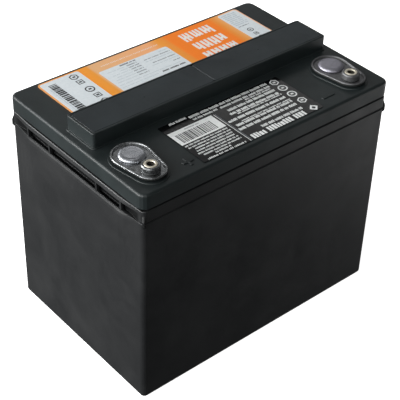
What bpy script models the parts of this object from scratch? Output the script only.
"""Sealed deep cycle battery: six AGM cells in a moulded container with a welded cover.

Frame: origin at the centre of the base, X along the length, -Y the terminal side, +Z up.
"""

import math

import bmesh
import bpy

MM = 0.001

# ---- driving dimensions, millimetres ----
GAP = 0.3                    # clearance left between separate pieces

WALL_X = 128.0               # outside of the end walls at the base
WALL_Y = 86.0                # outside of the long walls
WALL_R = 4.0                 # vertical corner radius of the container
BULGE = 2.6                  # how far the end walls bow out under the cover
BULGE_FROM = 110.0           # height at which the bow starts
GROOVE_Z = 181.2             # groove along the long walls below the cover
GROOVE_DEPTH = 1.1
RAIL_TOP = 191.8             # top of the rail above the end pockets
RIM_X = 125.7                # weld rim hidden inside the cover
RIM_Y = 83.3
RIM_TOP = 199.0

CELLS = 6
END_INNER = 124.6            # inside of the end walls
SIDE_INNER = 83.0
PARTITION = 2.0
FLOOR = 3.5
CELL_IN = (2 * END_INNER - (CELLS - 1) * PARTITION) / CELLS
PITCH = CELL_IN + PARTITION

POCKET_Z0 = 180.3
POCKET_Z1 = 188.4
POCKET_DEPTH = 5.0
LIP_T = 1.2                  # lip in front of the three middle pockets
LIP_Z = 173.5                # floor of the slot behind the lip
# how far the bowed end wall rolls back in around the pockets: (height, inward)
ROLL = ((175.8, 0.0), (178.3, 0.35), (179.8, 1.0), (188.6, 0.6), (191.3, 1.3))
RIB_Y = (30.8, 60.7)         # rib centres, each side of the middle
RIB_T = 1.7

COVER_X = 129.0
COVER_Y = 86.6
COVER_R = 7.0
SKIRT_Z = 193.0
COVER_TOP = 207.0
COVER_UNDER = 203.6

BAR_X = 121.5                # raised vent bar
BAR_Y = 17.3
BAR_TOP = 220.4
BAR_RIM = 1.9                # rim around the two vent strips
BAR_LEDGE = 1.6
STRIP_T = 1.9
CHAMBER_Z = 208.0            # floor of the valve chamber

CHIMNEY_R = 6.8
CHIMNEY_BORE = 4.5
CHIMNEY_TOP = 213.5
CAP_R = 8.4
CAP_TOP = 215.3

PORT_X = 42.0                # gas ports in the back of the vent bar
PORT_Z = 213.0
FRIT_R = 4.0

STRAP_Y = 43.9
TERM_X = {-1: -105.9, 1: 102.4}   # positive and negative terminal
TERM_BIG_R = 16.2            # wide end of the terminal casting
TERM_SMALL_R = 12.7
BOSS_Y = 66.6
PAD_TOP = COVER_TOP + 0.6
CAST_Z = PAD_TOP + GAP
CAST_TOP = 211.2
CAST_FLOOR = 209.7
BOSS_R = 7.5
BOSS_TOP = 215.4
BOSS_SEAT = 214.4            # recess in the boss for the insert's flange
POST_R = 6.1
POST_HEAD_R = 10.9
POST_FLAT_R = 7.2            # flat top of the burned head
POST_TOP = 212.7
BOLT_R = 3.05                # M6 hole in the threaded insert
INSERT_R = 4.6
FLANGE_R = 5.3
INSERT_TOP = 215.7
INSERT_Z = 202.0

PLATE_Y = 79.0
PLATE_Z0 = 6.0
PLATE_Z1 = 166.0
STRAP_Z0 = 174.0
STRAP_Z1 = 181.0
TAB_Z1 = 194.0
POS_T = 3.0
NEG_T = 2.2
SHEET_T = 1.2
LEAF = SHEET_T + 2 * GAP
WELD_Z = 187.0
WELD_R = 4.5

LABEL_T = 0.25
LABEL_Z = COVER_TOP + GAP


# ---- mesh helpers ----
def material(name, colour, rough, metal=0.0):
    mat = bpy.data.materials.new(name)
    mat.use_nodes = True
    shader = mat.node_tree.nodes["Principled BSDF"]
    shader.inputs["Base Color"].default_value = (*colour, 1.0)
    shader.inputs["Roughness"].default_value = rough
    shader.inputs["Metallic"].default_value = metal
    return mat


def empty(name, x):
    obj = bpy.data.objects.new(name, None)
    bpy.context.scene.collection.objects.link(obj)
    obj.location = (x * MM, 0.0, 0.0)
    return obj


def make(name, verts, faces, mat, smooth=False, parent=None):
    """Object from points in millimetres, measured from its parent empty if it has one."""
    mesh = bpy.data.meshes.new(name)
    mesh.from_pydata([(x * MM, y * MM, z * MM) for x, y, z in verts], [], faces)
    mesh.update()
    work = bmesh.new()
    work.from_mesh(mesh)
    bmesh.ops.recalc_face_normals(work, faces=work.faces)
    work.to_mesh(mesh)
    work.free()
    obj = bpy.data.objects.new(name, mesh)
    bpy.context.scene.collection.objects.link(obj)
    obj.parent = parent
    if mat:
        mesh.materials.append(mat)
    if smooth:
        mesh.shade_smooth()
        mesh.set_sharp_from_angle(angle=math.radians(35.0))
    return obj


def hidden(obj):
    obj.hide_render = True
    obj.display_type = "WIRE"
    return obj


def boolean(obj, tool, operation):
    mod = obj.modifiers.new(tool.name, "BOOLEAN")
    mod.operation = operation
    mod.solver = "EXACT"
    mod.object = tool
    hidden(tool)


def rounded_rect(hx, hy, r, cx=0.0, cy=0.0, steps=4):
    points = []
    for sx, sy, start in ((1, 1, 0), (-1, 1, 90), (-1, -1, 180), (1, -1, 270)):
        for i in range(steps + 1):
            a = math.radians(start + 90.0 * i / steps)
            points.append((cx + sx * (hx - r) + r * math.cos(a),
                           cy + sy * (hy - r) + r * math.sin(a)))
    return points


def teardrop(grow, cx=0.0, big_y=-STRAP_Y, small_y=-BOSS_Y, steps=20):
    """Outline around the wide end at big_y and the narrow end at small_y."""
    big = TERM_BIG_R + grow
    small = TERM_SMALL_R + grow
    lean = math.asin((big - small) / (big_y - small_y))
    points = []
    for i in range(steps + 1):
        a = -lean + (math.pi + 2 * lean) * i / steps
        points.append((cx + big * math.cos(a), big_y + big * math.sin(a)))
    for i in range(steps - 5):
        a = math.pi + lean + (math.pi - 2 * lean) * i / (steps - 6)
        points.append((cx + small * math.cos(a), small_y + small * math.sin(a)))
    return points


def loft(rings, base=0):
    """Closed body through rings of equal length; each ring is a list of (x, y, z)."""
    n = len(rings[0])
    verts = [p for ring in rings for p in ring]
    faces = [list(range(base + n - 1, base - 1, -1))]
    for k in range(len(rings) - 1):
        for i in range(n):
            j = (i + 1) % n
            a = base + k * n
            faces.append([a + i, a + j, a + n + j, a + n + i])
    last = base + (len(rings) - 1) * n
    faces.append(list(range(last, last + n)))
    return verts, faces


def prism(outline, z0, z1, base=0):
    return loft([[(x, y, z0) for x, y in outline], [(x, y, z1) for x, y in outline]], base)


def block(x0, x1, y0, y1, z0, z1, base=0):
    return prism([(x0, y0), (x1, y0), (x1, y1), (x0, y1)], z0, z1, base)


def circle(r, h, cu, cv, steps, axis):
    ring = []
    for i in range(steps):
        a = 2 * math.pi * i / steps
        u, v = cu + r * math.cos(a), cv + r * math.sin(a)
        ring.append({"X": (h, u, v), "Y": (u, h, v), "Z": (u, v, h)}[axis])
    return ring


def turned(profile, cu, cv, steps=32, axis="Z", base=0):
    """Solid on the axis: (radius, height) points, with a flat cap on the first and last."""
    return loft([circle(r, h, cu, cv, steps, axis) for r, h in profile], base)


def hoop(profile, cu, cv, steps=32):
    """Ring clear of the axis, from a closed (radius, height) profile."""
    rings = [circle(r, h, cu, cv, steps, "Z") for r, h in profile]
    n, m = steps, len(rings)
    verts = [p for ring in rings for p in ring]
    faces = []
    for k in range(m):
        for i in range(n):
            j = (i + 1) % n
            a, b = k * n, ((k + 1) % m) * n
            faces.append([a + i, a + j, b + j, b + i])
    return verts, faces


def merged(parts):
    """Put several separate bodies into one mesh; each part is a function of base."""
    verts, faces = [], []
    for part in parts:
        v, f = part(len(verts))
        verts += v
        faces += f
    return verts, faces


def cylinder_at(r, cx, cy, z0, z1, steps=32, axis="Z"):
    return lambda base: turned([(r, z0), (r, z1)], cx, cy, steps, axis, base)


def lattice(xs, ys, zs, filled):
    """Single body from the filled boxes of an uneven grid."""
    index, verts, faces = {}, [], []

    def corner(i, j, k):
        if (i, j, k) not in index:
            index[(i, j, k)] = len(verts)
            verts.append((xs[i], ys[j], zs[k]))
        return index[(i, j, k)]

    for i, j, k in filled:
        for axis in range(3):
            for side in (0, 1):
                near = [i, j, k]
                near[axis] += 2 * side - 1
                if tuple(near) in filled:
                    continue
                quad = []
                for u, v in ((0, 0), (1, 0), (1, 1), (0, 1)):
                    p = [i, j, k]
                    p[axis] += side
                    p[(axis + 1) % 3] += u
                    p[(axis + 2) % 3] += v
                    quad.append(corner(*p))
                faces.append(quad if side else quad[::-1])
    return verts, faces


# ---- container ----
def roll_in(z):
    if z <= ROLL[0][0]:
        return 0.0
    for (z0, a), (z1, b) in zip(ROLL, ROLL[1:]):
        if z <= z1:
            return a + (b - a) * (z - z0) / (z1 - z0)
    return ROLL[-1][1]


def bow(y, z):
    """Outward bow of an end wall at this point."""
    if z <= BULGE_FROM:
        return 0.0
    t = min(1.0, (z - BULGE_FROM) / (ROLL[0][0] - BULGE_FROM))
    s = max(0.0, min(1.0, (82.0 - abs(y)) / 26.0))
    return (BULGE * t * t * (3 - 2 * t) - roll_in(z)) * s * s * (3 - 2 * s)


def container_ring(z, inset=0.0, groove=0.0, bowed=True):
    hx, hy, r = WALL_X - inset, WALL_Y - inset, max(WALL_R - inset, 2.0)
    hy -= groove
    spans = [-76, -70, -64, -58, -30, 0, 30, 58, 64, 70, 76]
    ring = []
    for sx, sy, start in ((1, 1, 0), (-1, 1, 90), (-1, -1, 180), (1, -1, 270)):
        if start in (0, 180):
            side = spans if start == 0 else [-y for y in spans]
            out = (hx if start == 0 else -hx)
            for y in side:
                push = bow(y, z) if bowed else 0.0
                ring.append((out + math.copysign(push, out), y, z))
        for i in range(5):
            a = math.radians(start + 90.0 * i / 4)
            ring.append((sx * (hx - r) + r * math.cos(a),
                         sy * (hy - r) + r * math.sin(a), z))
    return ring


def rim_ring(z):
    ring = container_ring(z, 0.0, 0.0, False)
    kx, ky = RIM_X / WALL_X, RIM_Y / WALL_Y
    return [(x * kx, y * ky, z) for x, y, z in ring]


def container_shell():
    g = GROOVE_Z
    rings = [container_ring(0.0, 1.4), container_ring(0.5, 0.5), container_ring(1.6)]
    rings += [container_ring(z) for z in (BULGE_FROM, 128.0, 146.0, 164.0)]
    rings += [container_ring(z) for z in (175.8, 178.3, 179.8)]
    rings += [container_ring(g + s, 0.0, GROOVE_DEPTH) for s in (-0.7, 0.7)]
    rings += [container_ring(g + 1.1), container_ring(POCKET_Z1 + 0.2)]
    rings += [container_ring(RAIL_TOP - 0.5)]
    rings += [container_ring(RAIL_TOP, 0.5), rim_ring(RAIL_TOP + 0.1), rim_ring(RIM_TOP)]
    return loft(rings)


def pocket_outlines():
    """Plan outlines of the five pockets under the rail of one end."""
    outer = WALL_X + BULGE + 3.0
    inner = WALL_X + BULGE - POCKET_DEPTH
    half = RIB_T / 2
    inside, outside = RIB_Y
    yield [(inner, -inside + half), (outer, -inside + half),
           (outer, inside - half), (inner, inside - half)]
    for s in (1, -1):
        a, b = inside + half, outside - half
        yield [(inner, s * a), (outer, s * a), (outer, s * b), (inner, s * b)]
        a = outside + half
        yield [(inner, s * a), (outer, s * a), (outer, s * 85.0),
               (WALL_X + 0.1, s * 83.0), (inner, s * 68.0)]


def pocket_cutters():
    parts = []
    for side in (1, -1):
        for outline in pocket_outlines():
            plan = [(side * x, y) for x, y in outline]
            parts.append(lambda base, p=plan: prism(p, POCKET_Z0, POCKET_Z1, base))
    return merged(parts)


def slot_cutters():
    """Narrow slots going down behind the lips of the three middle pockets."""
    inner = WALL_X + BULGE - POCKET_DEPTH + 0.2
    outer = WALL_X + BULGE - ROLL[2][1] - LIP_T
    half = RIB_T / 2 + 0.2
    inside, outside = RIB_Y
    spans = [(-inside + half, inside - half), (inside + half, outside - half - 3.0),
             (-outside + half + 3.0, -inside - half)]
    parts = []
    for side in (1, -1):
        for y0, y1 in spans:
            x0, x1 = sorted((side * inner, side * outer))
            parts.append(lambda base, b=(x0, x1, y0, y1): block(*b, LIP_Z, POCKET_Z0 + 1.0, base))
    return merged(parts)


def corner_lug(sx, sy, base):
    """Small upright fin on a container corner, sloped at both ends."""
    cx = sx * (WALL_X - WALL_R)
    cy = sy * (WALL_Y - WALL_R)
    ux, uy = sx * math.sqrt(0.5), sy * math.sqrt(0.5)
    tip = WALL_R + 1.7
    profile = [(2.0, 176.5), (WALL_R - 0.2, 176.5), (tip, 178.6),
               (tip, 183.2), (WALL_R - 0.2, 188.0), (2.0, 188.0)]
    verts = []
    for t in (-0.8, 0.8):
        for d, z in profile:
            verts.append((cx + ux * d - uy * t, cy + uy * d + ux * t, z))
    n = len(profile)
    faces = [[base + i for i in range(n)][::-1], [base + n + i for i in range(n)]]
    for i in range(n):
        j = (i + 1) % n
        faces.append([base + i, base + j, base + n + j, base + n + i])
    return verts, faces


def cell_centre(i):
    return (i - (CELLS - 1) / 2) * PITCH


def weld_y(i):
    return STRAP_Y if i % 2 == 0 else -STRAP_Y


def build_container(mat):
    shell = make("container", *container_shell(), mat, True)
    cells = []
    for i in range(CELLS):
        x = cell_centre(i)
        cells.append(lambda base, x=x: block(x - CELL_IN / 2, x + CELL_IN / 2, -SIDE_INNER,
                                             SIDE_INNER, FLOOR, RIM_TOP + 5, base))
    boolean(shell, make("cut_cells", *merged(cells), None), "DIFFERENCE")
    boolean(shell, make("cut_pockets", *pocket_cutters(), None), "DIFFERENCE")
    boolean(shell, make("cut_slots", *slot_cutters(), None), "DIFFERENCE")
    lugs = [lambda base, s=s: corner_lug(*s, base)
            for s in ((1, 1), (1, -1), (-1, 1), (-1, -1))]
    boolean(shell, make("add_lugs", *merged(lugs), None), "UNION")
    holes = []
    for i in range(CELLS - 1):
        x = (i - 2) * PITCH
        holes.append(cylinder_at(WELD_R + GAP, weld_y(i), WELD_Z, x - 2, x + 2, 24, "X"))
    boolean(shell, make("cut_weld_holes", *merged(holes), None), "DIFFERENCE")


# ---- cover ----
def cover_rings(top, hx, hy, r, edge, z0):
    rings = []
    for z, inset in z0:
        rings.append([(x, y, z) for x, y in rounded_rect(hx - inset, hy - inset, r - inset * 0.5)])
    for i in range(5):
        a = math.radians(90.0 * i / 4)
        inset = edge * (1 - math.cos(a))
        z = top - edge * (1 - math.sin(a))
        ring = rounded_rect(hx - inset, hy - inset, max(r - inset, 0.5))
        rings.append([(x, y, z) for x, y in ring])
    return rings


def sign_marks():
    """Raised polarity marks beside the terminals."""
    z0, z1 = COVER_TOP - 0.5, COVER_TOP + 0.6
    x, y = -75.5, -72.5
    arm, half = 5.0, 1.1
    plus = []
    for sx, sy in ((-1, -1), (1, -1), (1, 1), (-1, 1)):
        pts = [(sx * arm, sy * half), (sx * half, sy * half), (sx * half, sy * arm)]
        plus += pts if sx * sy > 0 else pts[::-1]
    plus = [(x + u, y + v) for u, v in plus]
    return merged([lambda base: prism(plus, z0, z1, base),
                   lambda base: block(64.7, 77.5, y - half, y + half, z0, z1, base)])


def build_cover(mat):
    skirt = [(SKIRT_Z, 1.0), (SKIRT_Z + 1.0, 0.0)]
    cover = make("cover", *loft(cover_rings(COVER_TOP, COVER_X, COVER_Y, COVER_R, 2.2, skirt)),
                 mat)
    inside = make("cut_rim", *prism(rounded_rect(RIM_X + 0.5, RIM_Y + 0.5, 4.5),
                                    SKIRT_Z - 3, RIM_TOP + 0.4), None)
    boolean(cover, inside, "DIFFERENCE")
    cells = []
    for i in range(CELLS):
        x = cell_centre(i)
        cells.append(lambda base, x=x: block(x - CELL_IN / 2, x + CELL_IN / 2, -82.0, 82.0,
                                             RIM_TOP - 1, COVER_UNDER, base))
    boolean(cover, make("cut_cover_cells", *merged(cells), None), "DIFFERENCE")

    bar = cover_rings(BAR_TOP, BAR_X, BAR_Y, 2.5, 0.8, [(COVER_UNDER + 1, 0.0)])
    boolean(cover, make("add_bar", *loft(bar), None), "UNION")
    plinth = rounded_rect(BAR_X + 1.2, BAR_Y + 1.2, 3.4)
    boolean(cover, make("add_plinth", *prism(plinth, COVER_UNDER + 1, COVER_TOP + 0.8), None),
            "UNION")
    pads = [lambda base, s=s: prism(teardrop(1.5, TERM_X[s]), COVER_UNDER + 1, PAD_TOP, base)
            for s in (-1, 1)]
    boolean(cover, make("add_pads", *merged(pads), None), "UNION")
    boolean(cover, make("add_marks", *sign_marks(), None), "UNION")
    wells = []
    for s in (-1, 1):
        wells.append(lambda base, s=s: prism(teardrop(-1.0, TERM_X[s]), 198.3,
                                             COVER_UNDER + 2, base))
    boolean(cover, make("add_wells", *merged(wells), None), "UNION")

    seat = rounded_rect(BAR_X - BAR_RIM, BAR_Y - BAR_RIM, 2.5)
    seat_z = BAR_TOP - STRIP_T - GAP
    boolean(cover, make("cut_strip_seat", *prism(seat, seat_z, BAR_TOP + 2), None), "DIFFERENCE")
    inner = BAR_RIM + BAR_LEDGE
    chamber = rounded_rect(BAR_X - inner, BAR_Y - inner, 2.0)
    boolean(cover, make("cut_chamber", *prism(chamber, CHAMBER_Z, BAR_TOP + 1), None),
            "DIFFERENCE")
    stacks = [cylinder_at(CHIMNEY_R, cell_centre(i), 0.0, COVER_UNDER + 1, CHIMNEY_TOP)
              for i in range(CELLS)]
    boolean(cover, make("add_chimneys", *merged(stacks), None), "UNION")
    bores = [cylinder_at(CHIMNEY_BORE, cell_centre(i), 0.0, COVER_UNDER - 2, CHIMNEY_TOP + 2, 24)
             for i in range(CELLS)]
    boolean(cover, make("cut_chimneys", *merged(bores), None), "DIFFERENCE")

    wall = BAR_Y - inner
    ports = []
    for s in (-1, 1):
        ports.append(lambda base, s=s: turned([(FRIT_R + GAP, wall - 1),
                                               (FRIT_R + GAP, wall + 2), (1.5, wall + 2),
                                               (1.5, BAR_Y + 2)],
                                              s * PORT_X, PORT_Z, 24, "Y", base))
    boolean(cover, make("cut_ports", *merged(ports), None), "DIFFERENCE")

    holes = []
    for s in (-1, 1):
        x = TERM_X[s]
        holes.append(lambda base, x=x: turned([(POST_R + 0.4, 196.0), (POST_R + 0.4, 200.4),
                                               (8.75, 200.4), (8.75, 202.9),
                                               (POST_R + 0.4, 202.9), (POST_R + 0.4, 204.2),
                                               (10.0, 204.2), (10.0, PAD_TOP + 2)],
                                              x, -STRAP_Y, 32, "Z", base))
        holes.append(cylinder_at(8.3, x, -BOSS_Y, 199.8, PAD_TOP + 2))
    boolean(cover, make("cut_terminal_holes", *merged(holes), None), "DIFFERENCE")


def build_vent_strips(mat):
    low = BAR_TOP - STRIP_T
    half_y = BAR_Y - BAR_RIM - GAP
    end = BAR_X - BAR_RIM - GAP
    for name, s in (("vent_strip_left", -1), ("vent_strip_right", 1)):
        mid = s * (end + 0.2) / 2
        hx = (end - 0.2) / 2
        rings = []
        for z, inset in ((low, 0.0), (BAR_TOP - 0.3, 0.0), (BAR_TOP, 0.3)):
            ring = rounded_rect(hx - inset, half_y - inset, 2.4 - inset, mid)
            rings.append([(x, y, z) for x, y in ring])
        strip = make(name, *loft(rings), mat)
        dimple = turned([(0.7, BAR_TOP - 0.4), (1.0, BAR_TOP + 1)], mid, 0.0, 16)
        boolean(strip, make("cut_dimple_" + name, *dimple, None), "DIFFERENCE")


def build_valve_caps(mat):
    """Rubber caps over the chimneys; each lifts along its own empty's Z axis."""
    inner = CHIMNEY_R + GAP
    low = CHAMBER_Z + 1.0
    profile = [(inner, CHIMNEY_TOP + GAP), (inner, low), (CAP_R - 0.3, low),
               (CAP_R, low + 0.3), (CAP_R, CAP_TOP - 0.6), (CAP_R - 0.6, CAP_TOP)]
    for i in range(CELLS):
        axis = empty(f"valve_axis_{i + 1}", cell_centre(i))
        make(f"valve_cap_{i + 1}", *turned(profile, 0.0, 0.0, 24), mat, True, axis)


def build_arrestors(mat):
    wall = BAR_Y - BAR_RIM - BAR_LEDGE
    for name, s in (("flame_arrestor_left", -1), ("flame_arrestor_right", 1)):
        profile = [(FRIT_R, wall - 0.3), (FRIT_R, wall + 1.7)]
        make(name, *turned(profile, s * PORT_X, PORT_Z, 24, "Y"), mat, True)


# ---- terminals ----
def terminal_casting(name, at, mat):
    levels = [(CAST_Z, -1.2), (CAST_Z + 1.0, -0.2), (CAST_Z + 1.5, 0.0), (CAST_TOP - 0.5, 0.0),
              (CAST_TOP, -0.5), (CAST_TOP, -1.5), (CAST_FLOOR, -2.3)]
    rings = [[(x, y, z) for x, y in teardrop(grow)] for z, grow in levels]
    casting = make(name, *loft(rings), mat, False, at)
    boss = [(8.0, 200.1), (8.0, CAST_Z + 0.8), (BOSS_R, CAST_Z + 0.8),
            (BOSS_R, BOSS_TOP - 0.7), (BOSS_R - 0.7, BOSS_TOP)]
    solid = make("add_boss_" + name, *turned(boss, 0.0, -BOSS_Y), None, False, at)
    boolean(casting, solid, "UNION")
    bores = [cylinder_at(POST_R + 0.4, 0.0, -STRAP_Y, CAST_Z - 2, CAST_TOP + 2),
             lambda base: turned([(INSERT_R + GAP, INSERT_Z - GAP), (INSERT_R + GAP, BOSS_SEAT),
                                  (FLANGE_R + GAP, BOSS_SEAT), (FLANGE_R + GAP, BOSS_TOP + 2)],
                                 0.0, -BOSS_Y, 24, "Z", base)]
    tool = make("cut_bores_" + name, *merged(bores), None, False, at)
    boolean(casting, tool, "DIFFERENCE")


def terminal_post(name, at, mat):
    low = CAST_FLOOR + GAP
    foot = low + 0.4
    profile = [(POST_R, STRAP_Z1 + GAP), (POST_R, low), (POST_HEAD_R, low)]
    for i in range(6):
        a = math.radians(18.0 * i)
        profile.append((POST_FLAT_R + (POST_HEAD_R - POST_FLAT_R) * math.cos(a),
                        foot + (POST_TOP - foot) * math.sin(a)))
    make(name, *turned(profile, 0.0, -STRAP_Y, 40), mat, True, at)


def terminal_insert(name, at, mat):
    profile = [(INSERT_R, INSERT_Z), (INSERT_R, BOSS_SEAT + GAP), (FLANGE_R, BOSS_SEAT + GAP),
               (FLANGE_R, INSERT_TOP - 0.3), (FLANGE_R - 0.3, INSERT_TOP),
               (BOLT_R + 0.5, INSERT_TOP), (BOLT_R, INSERT_TOP - 0.5)]
    z = INSERT_TOP - 2.0
    while z > INSERT_Z + 2.5:
        profile += [(BOLT_R, z + 0.4), (BOLT_R + 0.35, z - 0.4)]
        z -= 2.0
    profile.append((BOLT_R, INSERT_Z + 1.2))
    make(name, *turned(profile, 0.0, -BOSS_Y, 24), mat, True, at)


def post_seal(name, at, mat):
    ring_r, wire_r, z = 7.5, 0.9, 201.65
    profile = [(ring_r + wire_r * math.cos(2 * math.pi * i / 6),
                z + wire_r * math.sin(2 * math.pi * i / 6)) for i in range(6)]
    make(name, *hoop(profile, 0.0, -STRAP_Y, 28), mat, True, at)


def post_potting(name, at, mat):
    profile = [(POST_R + GAP, 204.5), (9.7, 204.5), (9.7, PAD_TOP), (POST_R + GAP, PAD_TOP)]
    make(name, *hoop(profile, 0.0, -STRAP_Y, 28), mat, True, at)


def build_terminals(lead, bright, brass, rubber, resin):
    for side, s in (("positive", -1), ("negative", 1)):
        at = empty(f"terminal_{side}", TERM_X[s])
        terminal_casting(f"terminal_casting_{side}", at, lead)
        terminal_post(f"terminal_post_{side}", at, bright)
        terminal_insert(f"terminal_insert_{side}", at, brass)
        post_seal(f"post_seal_{side}", at, rubber)
        post_potting(f"post_potting_{side}", at, resin)


# ---- cells ----
def plate_stack():
    """x spans of the nine plates of a cell: negative, positive, ... negative."""
    x = -(5 * NEG_T + 4 * POS_T + 8 * LEAF) / 2
    spans = []
    for k in range(9):
        t = POS_T if k % 2 else NEG_T
        spans.append((x, x + t))
        x += t + LEAF
    return spans


def plate_group(name, spans, strap_y, tab, mat, cell):
    """Plates joined by one strap; tab is the x span of the upright weld tab, or None."""
    xs = sorted({x for span in spans for x in span} | set(tab or ()))
    ys = [-PLATE_Y, strap_y - 7.0, strap_y + 7.0, PLATE_Y]
    zs = [PLATE_Z0, PLATE_Z1, STRAP_Z0, STRAP_Z1, TAB_Z1]
    filled = set()
    for i in range(len(xs) - 1):
        mid = (xs[i] + xs[i + 1]) / 2
        if any(a < mid < b for a, b in spans):
            filled |= {(i, j, 0) for j in range(3)}
            filled.add((i, 1, 1))
        filled.add((i, 1, 2))
        if tab and tab[0] < mid < tab[1]:
            filled.add((i, 1, 3))
    make(name, *lattice(xs, ys, zs, filled), mat, False, cell)


def separator(name, spans, mat, cell):
    """Absorbent glass mat leaves between the plates, joined under them."""
    sheets = [(a[1] + GAP, b[0] - GAP) for a, b in zip(spans, spans[1:])]
    xs = sorted({x for sheet in sheets for x in sheet})
    filled = set()
    for i in range(len(xs) - 1):
        filled.add((i, 0, 0))
        if i % 2 == 0:
            filled.add((i, 0, 1))
    zs = [FLOOR + GAP, PLATE_Z0 - 0.6, 169.0]
    make(name, *lattice(xs, [-80.5, 80.5], zs, filled), mat, False, cell)


def build_cells(positive, negative, mat_sheet, lead):
    """Six plate stacks in series; the strap sides swap from cell to cell."""
    spans = plate_stack()
    edge = CELL_IN / 2 - 0.4
    for i in range(CELLS):
        cell = empty(f"cell_{i + 1}", cell_centre(i))
        neg_y = weld_y(i)
        pos_tab = (-edge, 3.0 - edge) if i > 0 else None
        neg_tab = (edge - 3.0, edge) if i < CELLS - 1 else None
        plate_group(f"positive_plates_{i + 1}", spans[1::2], -neg_y, pos_tab, positive, cell)
        plate_group(f"negative_plates_{i + 1}", spans[0::2], neg_y, neg_tab, negative, cell)
        separator(f"separator_{i + 1}", spans, mat_sheet, cell)
    for i in range(CELLS - 1):
        wall = empty(f"partition_{i + 1}", (i - 2) * PITCH)
        slug = [(WELD_R, -1.1), (WELD_R, 1.1)]
        make(f"cell_weld_{i + 1}", *turned(slug, weld_y(i), WELD_Z, 20, "X"), lead, True, wall)


# ---- labels ----
def build_labels(orange, black):
    top = LABEL_Z + LABEL_T
    back = rounded_rect(106.6, 30.9, 3.5, 0.9, 51.4)
    make("label_back", *prism(back, LABEL_Z, top), orange)
    front = rounded_rect(62.0, 28.0, 1.0, -5.0, -53.4)
    make("label_front", *prism(front, LABEL_Z, top), black)


def main():
    for obj in list(bpy.data.objects):
        bpy.data.objects.remove(obj, do_unlink=True)
    case = material("case_plastic", (0.03, 0.033, 0.037), 0.5)
    lid = material("cover_plastic", (0.035, 0.04, 0.045), 0.45)
    strip = material("strip_plastic", (0.04, 0.046, 0.052), 0.4)
    rubber = material("valve_rubber", (0.02, 0.02, 0.02), 0.8)
    frit = material("porous_frit", (0.8, 0.8, 0.78), 0.9)
    lead = material("cast_lead", (0.5, 0.5, 0.52), 0.4, 1.0)
    bright = material("burned_lead", (0.68, 0.68, 0.72), 0.25, 1.0)
    brass = material("insert_brass", (0.85, 0.78, 0.6), 0.3, 1.0)
    resin = material("potting_resin", (0.08, 0.02, 0.02), 0.35)
    positive = material("positive_plate", (0.12, 0.06, 0.05), 0.85)
    negative = material("negative_plate", (0.22, 0.23, 0.25), 0.75)
    glass_mat = material("glass_mat", (0.85, 0.85, 0.82), 0.95)
    orange = material("label_orange", (0.85, 0.32, 0.03), 0.4)
    black = material("label_black", (0.01, 0.01, 0.01), 0.35)
    build_container(case)
    build_cover(lid)
    build_vent_strips(strip)
    build_valve_caps(rubber)
    build_arrestors(frit)
    build_terminals(lead, bright, brass, rubber, resin)
    build_cells(positive, negative, glass_mat, lead)
    build_labels(orange, black)


main()
